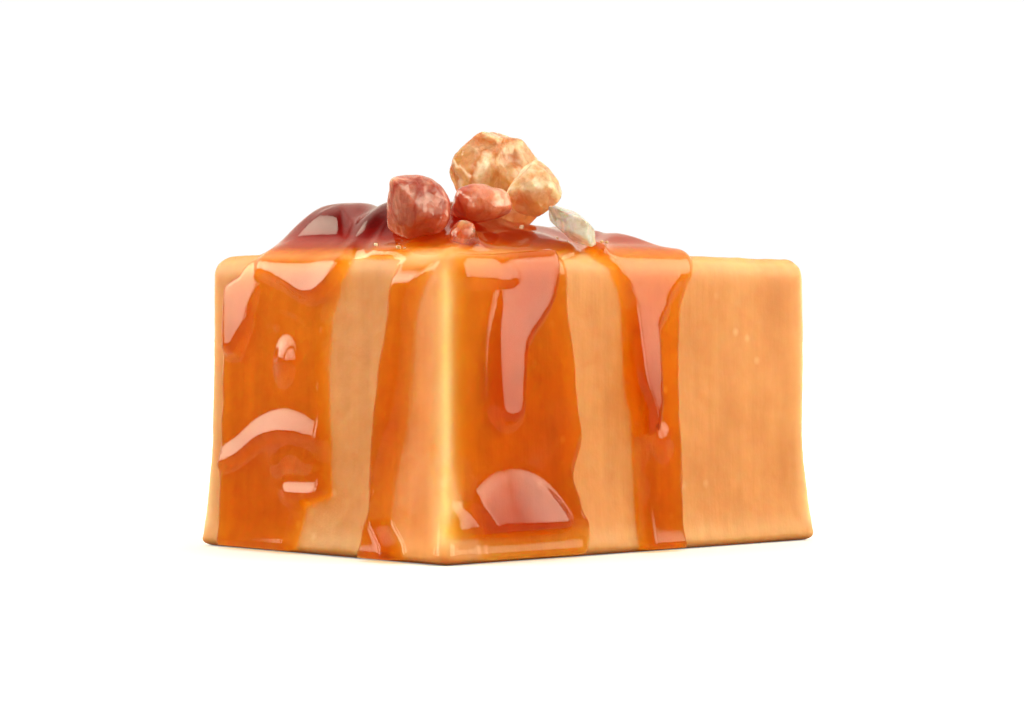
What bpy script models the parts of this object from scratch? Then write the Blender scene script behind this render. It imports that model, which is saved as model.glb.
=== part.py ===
"""Caramel candy: a soft block under a poured caramel sauce, with coarse salt crystals on its top.

Every length below is in millimetres; MM turns it into metres when a mesh is written. The block stands on
its flat base at z = 0 with its length along X. Places on its four sides are given by "round", the way
round the block from its front corner (least X, least Y): positive along the long front side, negative
along the short left side, and on round the back.
"""

import math
import random

import bmesh
import bpy
from mathutils import Euler, Matrix, Vector, noise

MM = 0.001

# Block
LENGTH = 28.8
WIDTH = 20.8
HEIGHT = 16.5
TOP_RADIUS = 1.2
BASE_RADIUS = 0.5
FOOT_FLARE = 0.4  # how far the soft base spreads
FOOT_HEIGHT = 1.3  # over which height it dies away
TAPER = 0.15  # how much the top draws in
UNEVEN = 0.10  # how far the faces wander from flat
BLOCK_STEPS = 9  # squares across a face, inside its rounded edges

# Sauce
GAP = 0.3  # clearance between neighbouring solids
RIM = 0.55  # the sauce ends where it gets this thin
RIM_WIDTH = 1.1  # over which a film rises from its edge to its full thickness
FILM = 0.85  # height of a film above the block
SAUCE_STEP = 1.15  # size of the sauce's mesh
SAUCE_FLOOR = 0.25  # lowest point of the sauce
MELD = 0.35  # softness of the join between two films

# Each run of sauce: the sides it lies on, its film's height, and (height, middle, half width) down its length.
# A height above the block's own goes on across the top, as far in from the edge.
RUNS = (
    ("left", FILM, ((21.0, -12.0, 3.2), (16.5, -12.6, 5.0), (14.0, -14.2, 5.2), (0.0, -14.4, 5.2))),
    (
        "corner",
        FILM,
        (
            (16.5, 2.9, 5.8),
            (13.0, 1.75, 7.4),
            (8.5, 1.8, 7.75),
            (3.4, 1.55, 7.9),
            (1.9, 2.0, 8.4),
            (0.0, 2.2, 8.8),
        ),
    ),
    (
        "front",
        FILM,
        (
            (21.0, 16.2, 3.0),
            (16.7, 15.4, 4.4),
            (14.8, 15.9, 3.0),
            (12.5, 15.9, 2.35),
            (8.0, 16.1, 2.15),
            (0.0, 16.6, 1.95),
        ),
    ),
    ("right", FILM, ((22.0, 41.4, 3.2), (16.5, 41.9, 3.4), (13.5, 42.1, 2.3), (6.0, 42.3, 2.0))),
    ("back", FILM, ((21.0, -31.0, 3.5), (16.5, -31.0, 5.0), (13.0, -30.6, 3.6), (0.0, -30.2, 3.2))),
    ("back", FILM, ((21.0, -39.0, 2.0), (16.5, -39.2, 2.8), (13.5, -39.4, 1.9), (8.5, -39.5, 2.0))),
)

# The pool on the top: discs (from the left side, from the front, radius) that flow together, and its
# swells (from the left side, from the front, spread, rise).
POOL = (
    (2.8, 2.6, 4.7),
    (7.5, 3.6, 5.4),
    (5.5, 7.1, 6.0),
    (10.5, 8.1, 6.6),
    (4.2, 12.7, 5.0),
    (16.0, 10.6, 6.4),
    (19.4, 15.8, 5.0),
    (24.2, 15.9, 3.8),
)
POOL_HEIGHT = 0.95
POOL_MELD = 2.0
POOL_SWELLS = ((4.4, 10.7, 5.6, 1.5), (8.0, 4.5, 3.6, 0.7), (17.5, 8.1, 5.0, 0.4))
SWELL_RISE = 2.6  # how far in from the pool's edge, or the block's, a swell reaches its height
OVERHANG = 0.35  # how steeply the pool dies away down a side

# Swells on the sides: (round, height, spread round, spread in height, rise).
SIDE_SWELLS = (
    (5.6, 1.0, 4.6, 0.8, 0.50),  # the lip at the foot of the corner run
    (5.5, 3.1, 2.6, 1.2, 0.45),  # the lens above that lip
    (5.2, 11.4, 0.9, 3.6, 0.30),  # a streak that hangs from the front edge
    (15.9, 12.0, 1.0, 4.0, 0.20),
    (-14.2, 7.2, 3.2, 0.8, 0.35),  # a wave across the left run
    (-12.5, 15.2, 2.8, 1.0, 0.35),
    (42.3, 6.2, 1.3, 1.1, 0.45),  # the bead at the end of the right run
    (-39.5, 8.6, 1.3, 1.1, 0.45),
    (-30.2, 1.3, 2.6, 0.8, 0.40),
    (16.6, 1.2, 1.6, 0.8, 0.35),
)

# Salt crystals: middle (from the left side, from the front, above the top), size, turn in degrees, and the
# seed of its facets.
CRYSTALS = (
    ((2.0, 4.9, 2.2), (3.2, 3.0, 3.1), (14, -10, 35), 3),
    ((10.6, 7.5, 4.0), (5.7, 4.7, 5.4), (8, 12, -38), 8),
    ((9.2, 2.85, 3.45), (2.8, 2.6, 3.2), (-12, 18, 20), 5),
    ((10.8, 0.6, 1.65), (3.1, 2.2, 2.2), (10, 38, -30), 13),
    ((5.6, 3.1, 2.75), (3.5, 2.5, 2.4), (0, 14, -40), 21),
    ((2.9, 1.8, 1.45), (1.7, 1.6, 1.7), (20, 5, 10), 34),
)
FACETS = 15  # cuts that take the corners off a crystal
FACET_DEPTH = (0.80, 0.97)  # how far out a cut lies, of the half size
CRYSTAL_BEVEL = 0.12

HALF_LENGTH = LENGTH / 2
HALF_WIDTH = WIDTH / 2
ROUND_TRIP = 2 * (LENGTH + WIDTH)

MATERIALS = {
    "caramel": ((0.80, 0.36, 0.12, 1.0), 0.45),
    "sauce": ((0.62, 0.16, 0.01, 1.0), 0.10),
    "salt": ((0.86, 0.66, 0.50, 1.0), 0.25),
}


def clear_scene():
    for obj in list(bpy.data.objects):
        bpy.data.objects.remove(obj)


def material(name):
    colour, roughness = MATERIALS[name]
    made = bpy.data.materials.new(name)
    made.use_nodes = True
    shader = made.node_tree.nodes["Principled BSDF"]
    shader.inputs["Base Color"].default_value = colour
    shader.inputs["Roughness"].default_value = roughness
    shader.inputs["Metallic"].default_value = 0.0
    made.diffuse_color = colour
    return made


def add_object(name, bm, finish):
    """A mesh object from bm, whose points are in millimetres."""
    bmesh.ops.scale(bm, vec=(MM, MM, MM), verts=bm.verts)
    mesh = bpy.data.meshes.new(name)
    bm.to_mesh(mesh)
    bm.free()
    if finish:
        mesh.materials.append(finish)
    obj = bpy.data.objects.new(name, mesh)
    bpy.context.scene.collection.objects.link(obj)
    return obj


def clamp(value, low=0.0, high=1.0):
    return max(low, min(high, value))


def ease(value):
    value = clamp(value)
    return value * value * (3 - 2 * value)


def soft_max(a, b, width):
    """The larger of two numbers, rounded off where they are within width of each other."""
    overlap = max(width - abs(a - b), 0.0) / width
    return max(a, b) + overlap * overlap * width / 4


# The block's surface


def edge_radius(z):
    return BASE_RADIUS + (TOP_RADIUS - BASE_RADIUS) * ease(z / (0.4 * HEIGHT))


def block_surface(point):
    """(place, outward direction) on the block for a point on the plain box of its size."""
    radius = edge_radius(point.z)
    middle = Vector(
        (
            clamp(point.x, radius - HALF_LENGTH, HALF_LENGTH - radius),
            clamp(point.y, radius - HALF_WIDTH, HALF_WIDTH - radius),
            clamp(point.z, radius, HEIGHT - radius),
        )
    )
    outward = (point - middle).normalized()
    place = middle + outward * radius
    spread = FOOT_FLARE * math.exp(-place.z / FOOT_HEIGHT) - TAPER * place.z / HEIGHT
    waver = UNEVEN * noise.noise(place * 0.16 + Vector((3.1, 7.7, 1.9)))
    sideways = Vector((outward.x, outward.y, 0.0))
    place = place + sideways * (spread + waver)
    place.z += waver * max(outward.z, 0.0)
    return place, outward


def grid_lines(half, step_count, radius):
    """Places of the mesh lines from -half to half, closer together over the rounded edges."""
    rim = [half - radius * part for part in (0.0, 0.5, 1.0)]
    inner = half - radius
    plain = [inner * (2 * i / step_count - 1) for i in range(1, step_count)]
    return [-value for value in rim] + plain + rim[::-1]


def box_shell(xs, ys, zs, with_base):
    """Corners of a box's surface as {(i, j, k): point}, and its quads, whose corners run round outwards."""
    corners = {}
    quads = []
    last = (len(xs) - 1, len(ys) - 1, len(zs) - 1)

    def corner(key):
        corners.setdefault(key, Vector((xs[key[0]], ys[key[1]], zs[key[2]])))
        return key

    for axis in range(3):
        across, up = (axis + 1) % 3, (axis + 2) % 3
        for end in (0, last[axis]):
            if axis == 2 and end == 0 and not with_base:
                continue
            for a in range(last[across]):
                for b in range(last[up]):
                    quad = []
                    for da, db in ((0, 0), (1, 0), (1, 1), (0, 1)):
                        key = [0, 0, 0]
                        key[axis], key[across], key[up] = end, a + da, b + db
                        quad.append(corner(tuple(key)))
                    quads.append(quad if end else quad[::-1])
    return corners, quads


def build_block(finish):
    xs = grid_lines(HALF_LENGTH, BLOCK_STEPS + 3, TOP_RADIUS)
    ys = grid_lines(HALF_WIDTH, BLOCK_STEPS, TOP_RADIUS)
    low = [0.0, BASE_RADIUS * 0.5, BASE_RADIUS, 1.2, 2.4]
    high = [HEIGHT - TOP_RADIUS * part for part in (1.0, 0.5, 0.0)]
    body = [low[-1] + (high[0] - low[-1]) * i / (BLOCK_STEPS - 2) for i in range(1, BLOCK_STEPS - 2)]
    corners, quads = box_shell(xs, ys, low + body + high, with_base=True)
    bm = bmesh.new()
    made = {key: bm.verts.new(block_surface(point)[0]) for key, point in corners.items()}
    for quad in quads:
        bm.faces.new([made[key] for key in quad])
    base = [face for face in bm.faces if all(vert.co.z < 1e-6 for vert in face.verts)]
    bmesh.ops.dissolve_faces(bm, faces=base)
    for face in bm.faces:
        face.smooth = True
    return add_object("caramel_block", bm, finish)


# The sauce


def round_of(point, side):
    """How far round the block a point lies, read on the given side."""
    if side == "left":
        return -(point.y + HALF_WIDTH)
    if side == "right":
        return LENGTH + point.y + HALF_WIDTH
    if side == "back":
        return -WIDTH - (point.x + HALF_LENGTH)
    return point.x + HALF_LENGTH


def inset_of(point, side):
    """How far in from the given side a point lies."""
    return {
        "left": point.x + HALF_LENGTH,
        "right": HALF_LENGTH - point.x,
        "front": point.y + HALF_WIDTH,
        "back": HALF_WIDTH - point.y,
    }[side]


def side_of(point):
    return min(("left", "right", "front", "back"), key=lambda side: inset_of(point, side))


def way_round(a, b):
    """The shorter way round from b to a."""
    return (a - b + ROUND_TRIP / 2) % ROUND_TRIP - ROUND_TRIP / 2


def run_at(stations, height):
    """(middle, half width) of a run at a height, eased between its stations."""
    if height >= stations[0][0]:
        return stations[0][1:]
    for (z1, middle1, half1), (z0, middle0, half0) in zip(stations, stations[1:]):
        if height >= z0:
            part = ease((height - z0) / (z1 - z0))
            return middle0 + (middle1 - middle0) * part, half0 + (half1 - half0) * part
    return stations[-1][1:]


def run_depth(point, side, stations):
    """How far inside a run's outline a point lies; negative outside."""
    on_top = point.z > HEIGHT - 1e-6
    if side == "corner":
        if on_top:
            return -1.0
        side = side_of(point)
        if side in ("right", "back"):
            return -1.0
    height = HEIGHT + inset_of(point, side) if on_top else point.z
    along = round_of(point, side if on_top else side_of(point))
    middle, half = run_at(stations, height)
    off = abs(way_round(along, middle))
    beyond = max(stations[-1][0] - height, height - stations[0][0], 0.0)
    return half - math.hypot(off, beyond)


def across_top(point, x, y):
    """How far a point lies, seen from above, from the place x in from the left side and y from the front."""
    return math.hypot(point.x + HALF_LENGTH - x, point.y + HALF_WIDTH - y)


def pool_depth(point):
    depth = -LENGTH
    for x, y, radius in POOL:
        depth = soft_max(depth, radius - across_top(point, x, y), POOL_MELD)
    return depth - (HEIGHT - point.z) / OVERHANG


def film(depth, height):
    """Height of a film over the block: a rounded rim, then level."""
    part = clamp(depth / RIM_WIDTH)
    return height * math.sqrt(1 - (1 - part) ** 2)


def bump(value, spread):
    return math.exp(-((value / spread) ** 2))


def sauce_height(point):
    """Height of the sauce's skin above the block; zero where there is none."""
    depth = pool_depth(point)
    pool = film(depth, POOL_HEIGHT)
    inside = ease(min(depth, inset_of(point, side_of(point)) + 0.5) / SWELL_RISE)
    for x, y, spread, rise in POOL_SWELLS:
        pool += rise * inside * math.exp(-((across_top(point, x, y) / spread) ** 4))
    height = pool
    for side, thickness, stations in RUNS:
        height = soft_max(height, film(run_depth(point, side, stations), thickness), MELD)
    if height > RIM and point.z < HEIGHT - 1e-6:
        along = round_of(point, side_of(point))
        for middle, level, wide, tall, rise in SIDE_SWELLS:
            height += rise * bump(way_round(along, middle), wide) * bump(point.z - level, tall) * ease(
                (height - RIM) / 0.3
            )
    return height


def sauce_point(point, height):
    place, outward = block_surface(point)
    outward = Vector((outward.x, outward.y, max(outward.z, 0.0))).normalized()
    return place + outward * height


def clipped(triangle, heights):
    """The part of a triangle where the sauce is thicker than its rim, as a list of (point, on the rim)."""
    kept = []
    for i in range(3):
        here, there = triangle[i], triangle[(i + 1) % 3]
        a, b = heights[here] - RIM, heights[there] - RIM
        if a > 0:
            kept.append((here, None))
        if (a > 0) != (b > 0):
            kept.append((min(here, there), max(here, there)))
    return kept


def build_sauce(finish):
    steps = [max(2, round((half - TOP_RADIUS) * 2 / SAUCE_STEP)) for half in (HALF_LENGTH, HALF_WIDTH)]
    xs = grid_lines(HALF_LENGTH, steps[0], TOP_RADIUS)
    ys = grid_lines(HALF_WIDTH, steps[1], TOP_RADIUS)
    top = HEIGHT - TOP_RADIUS
    rows = round((top - SAUCE_FLOOR) / SAUCE_STEP)
    zs = [SAUCE_FLOOR + (top - SAUCE_FLOOR) * i / rows for i in range(rows + 1)]
    zs += [HEIGHT - TOP_RADIUS * 0.5, HEIGHT]
    corners, quads = box_shell(xs, ys, zs, with_base=False)
    heights = {key: sauce_height(point) for key, point in corners.items()}
    for key, height in heights.items():
        if abs(height - RIM) < 0.06:
            heights[key] = RIM + 0.06
    bm = bmesh.new()
    made = {}

    def layers(name):
        """The inner and the outer vertex at a mesh corner, or on the edge between two of them."""
        if name not in made:
            first, second = name
            if second is None:
                point, height = corners[first], heights[first]
            else:
                a, b = heights[first] - RIM, heights[second] - RIM
                point, height = corners[first].lerp(corners[second], a / (a - b)), RIM
            made[name] = (bm.verts.new(sauce_point(point, GAP)), bm.verts.new(sauce_point(point, height)))
        return made[name]

    edges = {}
    for quad in quads:
        for triangle in ((quad[0], quad[1], quad[2]), (quad[0], quad[2], quad[3])):
            ring = clipped(triangle, heights)
            if len(ring) < 3:
                continue
            pairs = [layers(name) for name in ring]
            bm.faces.new([outer for inner, outer in pairs])
            bm.faces.new([inner for inner, outer in reversed(pairs)])
            for one, other in zip(ring, ring[1:] + ring[:1]):
                key = frozenset((one, other))
                edges[key] = None if key in edges else (one, other)
    for one, other in filter(None, edges.values()):
        (inner_a, outer_a), (inner_b, outer_b) = layers(one), layers(other)
        bm.faces.new((outer_b, outer_a, inner_a, inner_b))
    for face in bm.faces:
        face.smooth = True
    return add_object("caramel_sauce", bm, finish)


# The crystals


def crystal_mesh(size, seed, extra, bevel):
    """A box with its corners cut off by planes at random slants; extra pushes every face outwards."""
    rng = random.Random(seed)
    half = Vector(size) / 2
    bm = bmesh.new()
    bmesh.ops.create_cube(bm, size=2.0)
    grown = half + Vector((extra, extra, extra))
    bmesh.ops.scale(bm, vec=grown, verts=bm.verts)
    for _ in range(FACETS):
        slant = Vector([rng.choice((-1, 1)) * rng.uniform(0.25, 1.0) for _ in range(3)]).normalized()
        reach = math.sqrt(sum((slant[i] * half[i]) ** 2 for i in range(3)))
        depth = reach * rng.uniform(*FACET_DEPTH) + extra
        cut = bmesh.ops.bisect_plane(
            bm,
            geom=bm.verts[:] + bm.edges[:] + bm.faces[:],
            dist=1e-5,
            plane_co=slant * depth,
            plane_no=slant,
            clear_outer=True,
        )
        rim = [item for item in cut["geom_cut"] if isinstance(item, bmesh.types.BMEdge)]
        if rim:
            bmesh.ops.contextual_create(bm, geom=rim)
    bmesh.ops.dissolve_degenerate(bm, dist=0.02, edges=bm.edges)
    if bevel:
        bmesh.ops.bevel(bm, geom=bm.edges[:], offset=bevel, segments=1, affect="EDGES", clamp_overlap=True)
    bmesh.ops.recalc_face_normals(bm, faces=bm.faces)
    return bm


def place_crystal(bm, middle, turn):
    angles = [math.radians(angle) for angle in turn]
    at = Vector((middle[0] - HALF_LENGTH, middle[1] - HALF_WIDTH, HEIGHT + middle[2]))
    bm.transform(Matrix.Translation(at) @ Euler(angles).to_matrix().to_4x4())


def build_crystals(finish, sauce):
    for number, (middle, size, turn, seed) in enumerate(CRYSTALS, 1):
        bm = crystal_mesh(size, seed, 0.0, CRYSTAL_BEVEL)
        place_crystal(bm, middle, turn)
        add_object(f"salt_crystal_{number}", bm, finish)
        bm = crystal_mesh(size, seed, GAP, 0.0)
        place_crystal(bm, middle, turn)
        pocket = add_object(f"pocket_{number}", bm, None)
        pocket.hide_render = True
        pocket.display_type = "WIRE"
        cut = sauce.modifiers.new(f"pocket_{number}", "BOOLEAN")
        cut.operation = "DIFFERENCE"
        cut.solver = "EXACT"
        cut.object = pocket


def main():
    clear_scene()
    build_block(material("caramel"))
    sauce = build_sauce(material("sauce"))
    build_crystals(material("salt"), sauce)


main()
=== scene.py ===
"""Looks of the caramel candy: its cut block, the poured sauce, the salt crystals, and a pale studio.

Lengths are in millimetres until a mesh is written, and MM turns them into metres. "Round" is the way round
the block from its front corner (least X, least Y): positive along the long front side, negative along the
short left side, and on round the back. "In" is how far a place lies from the left and the front side.
"""

import math
import random

import bmesh
import bpy
import numpy as np
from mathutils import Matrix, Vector, noise


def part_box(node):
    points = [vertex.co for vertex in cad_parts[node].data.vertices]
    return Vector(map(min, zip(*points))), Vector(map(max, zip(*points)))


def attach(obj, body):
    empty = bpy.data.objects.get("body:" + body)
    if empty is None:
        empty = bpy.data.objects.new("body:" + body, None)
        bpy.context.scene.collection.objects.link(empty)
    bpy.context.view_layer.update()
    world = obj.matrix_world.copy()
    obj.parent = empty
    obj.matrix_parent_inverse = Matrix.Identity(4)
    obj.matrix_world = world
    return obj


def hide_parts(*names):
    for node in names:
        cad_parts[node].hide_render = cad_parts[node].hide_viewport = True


MM = 0.001

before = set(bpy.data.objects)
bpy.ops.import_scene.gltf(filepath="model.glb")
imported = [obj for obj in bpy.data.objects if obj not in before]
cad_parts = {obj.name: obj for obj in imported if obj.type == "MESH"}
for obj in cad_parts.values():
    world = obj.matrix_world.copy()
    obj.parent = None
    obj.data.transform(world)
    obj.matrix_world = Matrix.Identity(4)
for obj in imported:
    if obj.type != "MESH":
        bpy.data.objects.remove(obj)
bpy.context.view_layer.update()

# The block, from the frame: its foot spreads a little past the plain box, and its top swells a little.
FOOT_SPREAD = 0.31
TOP_SWELL = 0.06
low, high = (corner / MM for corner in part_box("caramel_block"))
HALF_LENGTH = (high.x - low.x) / 2 - FOOT_SPREAD
HALF_WIDTH = (high.y - low.y) / 2 - FOOT_SPREAD
HEIGHT = high.z - TOP_SWELL
LENGTH = 2 * HALF_LENGTH
WIDTH = 2 * HALF_WIDTH
ROUND_TRIP = 2 * (LENGTH + WIDTH)
TOP_RADIUS = 1.2
BASE_RADIUS = 0.5
FOOT_FLARE = 0.4
FOOT_HEIGHT = 1.3
TAPER = 0.15
UNEVEN = 0.10
BLOCK_STEP = 0.2  # size of the block's mesh

# Sauce
SAUCE_STEP = 0.16  # size of the sauce's mesh
RIM_WIDTH = 0.65  # over which a film rises from its edge to its full thickness
POOL_RIM = 2.0
FILM = 0.72
SAG = 0.045  # how much thicker, for its thickness, a film gets for each millimetre down
SAUCE_FLOOR = 0.12
SUNK = 0.15  # how far the sauce's hidden underside lies inside the block
EDGE_WANDER = 0.16  # how far an edge of the sauce strays from its line

# Runs of sauce: side, film height, and (height, middle, half width) down the length. A height above the
# block's own goes on across the top, as far in from the edge.
RUNS = (
    (
        "left",
        0.52,
        (
            (21.0, -12.0, 3.4),
            (16.8, -12.1, 4.0),
            (15.7, -12.6, 4.6),
            (14.7, -13.8, 5.1),
            (12.5, -14.25, 4.75),
            (3.4, -14.15, 4.9),
            (2.5, -15.3, 3.7),
            (0.0, -15.4, 3.5),
        ),
    ),
    (
        "corner",
        FILM,
        (
            (16.5, 2.45, 6.35),
            (13.8, 2.2, 6.8),
            (9.5, 2.05, 7.3),
            (6.6, 2.1, 7.7),
            (4.5, 1.75, 7.35),
            (2.9, 1.95, 7.65),
            (1.4, 2.1, 8.2),
            (0.0, 1.8, 8.1),
        ),
    ),
    (
        "front",
        0.62,
        (
            (21.0, 15.7, 3.3),
            (16.5, 15.1, 3.9),
            (15.5, 15.35, 3.3),
            (14.5, 15.4, 2.7),
            (13.4, 15.35, 2.3),
            (10.5, 15.25, 2.2),
            (7.0, 15.6, 1.9),
            (0.0, 15.8, 1.8),
        ),
    ),
    ("right", 0.9, ((22.0, 41.4, 3.2), (16.5, 41.9, 3.2), (13.5, 42.1, 2.1), (6.0, 42.3, 1.8))),
    ("back", FILM, ((21.0, -31.0, 3.5), (16.5, -31.0, 4.8), (13.0, -30.6, 3.4), (0.0, -30.2, 3.0))),
    ("back", 0.85, ((21.0, -39.0, 2.0), (16.5, -39.2, 2.6), (13.5, -39.4, 1.7), (8.5, -39.5, 1.8))),
)

# The corner run is next to nothing over the corner itself: (height, where that begins, where it ends).
BARE_CORNER = (
    (0.0, -3.2, 2.3),
    (1.0, -3.6, 2.3),
    (2.0, -4.6, 2.2),
    (3.0, -4.6, 1.5),
    (4.5, -4.3, 1.0),
    (5.7, -3.9, 0.9),
    (7.1, -3.3, 0.9),
    (10.4, -3.0, 0.9),
    (12.4, -2.8, 0.9),
    (13.7, -2.5, 0.9),
    (14.8, -1.9, 0.9),
    (15.7, -1.0, 0.9),
)

# The pool on the top: discs (in from the left, in from the front, radius) that flow together, and its
# swells (in from the left, in from the front, spread, rise).
POOL = (
    (3.0, 2.6, 4.4),
    (6.8, 3.6, 4.6),
    (5.5, 7.1, 6.0),
    (10.5, 8.1, 6.2),
    (4.4, 13.4, 4.8),
    (16.0, 10.6, 6.4),
    (19.4, 15.8, 5.0),
    (24.2, 15.9, 3.8),
)
POOL_HEIGHT = 0.85
POOL_MELD = 2.0
SWELLS = ((5.2, 10.9, 6.3, 2.1), (8.0, 4.5, 3.6, 0.5), (15.4, 5.0, 4.6, 0.9), (18.5, 11.0, 4.5, 0.35))
SWELL_RISE = 3.7
OVERHANG = 0.35
FACET_TILT = 0.55  # how far the salt's facets turn from its surface
SHARD = 4  # the crystal that leans over
DROP = 6  # the grain that sauce has drowned
MENISCUS = 0.35  # how high the sauce climbs at a crystal
MENISCUS_REACH = 0.4

# Folds in the sides' films: (round, height, half width) along each, how steeply it climbs across its width, from
# its left side, as seen going along it, to its crest, where across its half width that crest is, and how much
# thicker it gets for each millimetre down.
FOLDS = (
    # the streak from the front edge, and the roll over that edge beside it
    (
        (
            (3.7, 8.3, 1.0),
            (3.8, 10.0, 1.1),
            (4.05, 11.9, 1.2),
            (4.7, 13.3, 1.5),
            (5.4, 14.8, 1.95),
            (5.7, 16.6, 2.1),
        ),
        0.22,
        0.8,
        0.05,
    ),
    (((0.9, 15.25, 0.5), (2.4, 15.25, 0.6), (3.9, 15.25, 0.6)), 0.20, 0.75, 0.0),
    # the left run: its wave, its lobes under the top edge, and the traces of drops under them
    (
        (
            (-19.0, 4.9, 0.6),
            (-17.0, 5.6, 0.75),
            (-15.0, 6.7, 0.8),
            (-13.0, 7.15, 0.85),
            (-11.3, 7.0, 0.75),
            (-9.9, 6.6, 0.55),
            (-8.8, 6.2, 0.5),
        ),
        0.24,
        0.75,
        0.0,
    ),
    (
        ((-15.0, 16.0, 0.7), (-12.9, 15.6, 0.9), (-10.8, 15.1, 1.2), (-9.6, 15.5, 1.0), (-8.4, 16.2, 0.6)),
        0.24,
        0.75,
        0.0,
    ),
    (((-14.4, 12.8, 0.4), (-13.4, 13.7, 0.55), (-11.8, 13.4, 0.6), (-10.6, 12.6, 0.45)), 0.05, 0.4, 0.0),
    (((-13.3, 4.9, 0.4), (-12.1, 5.6, 0.5), (-10.8, 5.1, 0.45)), 0.10, 0.4, 0.0),
    # a lip at the foot of the back run
    (((-28.4, 1.1, 0.8), (-32.0, 1.1, 0.8)), 0.30, 0.3, 0.0),
)
FOLD_RIM = 0.2
FOLD_PARTS = 5  # straight parts that stand for each stretch of a fold

# Beads in the sides' films: (round, height, half width, half height, rise).
BEADS = (
    (-12.8, 10.6, 1.15, 1.5, 0.34),
    (-13.6, 12.7, 0.45, 0.6, 0.07),
    (-4.6, 3.1, 0.55, 1.0, 0.16),
    (15.5, 6.2, 0.8, 1.1, 0.22),
    (42.2, 6.0, 1.2, 1.2, 0.35),
    (-39.5, 8.6, 1.2, 1.2, 0.35),
)

# Tongues in the sides' films that thicken downwards: the slope, and (height, middle, half width) down each.
TONGUES = (
    (
        0.10,
        (
            (16.5, 14.8, 3.2),
            (15.2, 14.8, 2.6),
            (13.7, 14.7, 1.6),
            (12.3, 14.35, 1.1),
            (10.0, 14.2, 1.15),
            (8.4, 14.15, 1.05),
            (6.6, 14.1, 0.65),
        ),
    ),
    (0.13, ((15.9, -16.9, 1.6), (15.0, -17.0, 1.9), (13.0, -17.1, 1.35), (11.0, -17.5, 0.7))),
    (0.30, ((4.0, -10.9, 1.8), (3.6, -10.9, 2.0), (3.1, -10.8, 1.8))),
)

# The lens of sauce over the foot of the corner run: its middle and half width, its flat bottom and its top.
LENS_MIDDLE, LENS_HALF = 4.25, 4.3
LENS_BOTTOM, LENS_TOP = 1.6, 5.0
LENS_SLOPE = 0.22

CAMERA_AZIMUTH = -42.9
CAMERA_DISTANCE = 168.0
CAMERA_HEIGHT = 12.1
CAMERA_AIM = 10.6
CAMERA_LENS = 102.0


# Helpers


def link(obj):
    bpy.context.scene.collection.objects.link(obj)
    return obj


def ease(value):
    value = np.clip(value, 0.0, 1.0)
    return value * value * (3 - 2 * value)


def soft_max(a, b, width):
    """The larger of two values, rounded off where they are within width of each other."""
    overlap = np.maximum(width - np.abs(a - b), 0.0) / width
    return np.maximum(a, b) + overlap * overlap * width / 4


def noise_at(points, size, seed=0.0, octaves=1):
    """Smooth noise of about -1 to 1 at each point, with lumps of the given size."""
    shift = Vector((seed, 1.7 * seed, -seed))
    out = np.zeros(len(points))
    for octave in range(octaves):
        scale = 2**octave / size
        out += [noise.noise(Vector(point) * scale + shift) / 2**octave for point in points]
    return out


# The block's surface


def edge_radius(z):
    return BASE_RADIUS + (TOP_RADIUS - BASE_RADIUS) * ease(z / (0.4 * HEIGHT))


def block_surface(points):
    """(places, outward directions) on the block for points on the plain box of its size."""
    radius = edge_radius(points[:, 2])
    limit = np.stack([HALF_LENGTH - radius, HALF_WIDTH - radius], axis=1)
    middle = points.copy()
    middle[:, :2] = np.clip(points[:, :2], -limit, limit)
    middle[:, 2] = np.clip(points[:, 2], radius, HEIGHT - radius)
    outward = points - middle
    outward /= np.linalg.norm(outward, axis=1)[:, None]
    place = middle + outward * radius[:, None]
    spread = FOOT_FLARE * np.exp(-place[:, 2] / FOOT_HEIGHT) - TAPER * place[:, 2] / HEIGHT
    waver = np.array([noise.noise(Vector(p) * 0.16 + Vector((3.1, 7.7, 1.9))) for p in place]) * UNEVEN
    place[:, :2] += outward[:, :2] * (spread + waver)[:, None]
    place[:, 2] += waver * np.maximum(outward[:, 2], 0.0)
    return place, outward


def grid_lines(start, end, step, rims):
    """Places of the mesh lines from start to end, with three extra-close squares over each rounded rim."""
    lines = [start + rims[0] * part for part in (0.0, 0.2, 0.4, 0.6, 0.8)] if rims[0] else []
    inner = (start + rims[0], end - rims[1])
    count = max(2, round((inner[1] - inner[0]) / step))
    lines += [inner[0] + (inner[1] - inner[0]) * i / count for i in range(count + 1)]
    if rims[1]:
        lines += [end - rims[1] * part for part in (0.8, 0.6, 0.4, 0.2, 0.0)]
    return np.array(lines)


def box_shell(xs, ys, zs, with_base):
    """Points on a box's surface, each once, and its quads as rows of indices that run round outwards."""
    lines = (xs, ys, zs)
    last = [len(line) - 1 for line in lines]
    keys = []
    quads = []
    for axis in range(3):
        across, up = (axis + 1) % 3, (axis + 2) % 3
        for end in (0, last[axis]):
            if axis == 2 and end == 0 and not with_base:
                continue
            a, b = np.meshgrid(np.arange(last[across]), np.arange(last[up]), indexing="ij")
            ring = []
            for da, db in ((0, 0), (1, 0), (1, 1), (0, 1)):
                key = np.zeros(a.shape + (3,), int)
                key[..., axis], key[..., across], key[..., up] = end, a + da, b + db
                ring.append(key.reshape(-1, 3))
            quads.append(np.stack(ring if end else ring[::-1], axis=1))
    keys = np.concatenate(quads).reshape(-1, 3)
    code = (keys[:, 0] * 4096 + keys[:, 1]) * 4096 + keys[:, 2]
    _, first, index = np.unique(code, return_index=True, return_inverse=True)
    used = keys[first]
    points = np.stack([lines[axis][used[:, axis]] for axis in range(3)], axis=1)
    return points, index.reshape(-1, 4)


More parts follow.
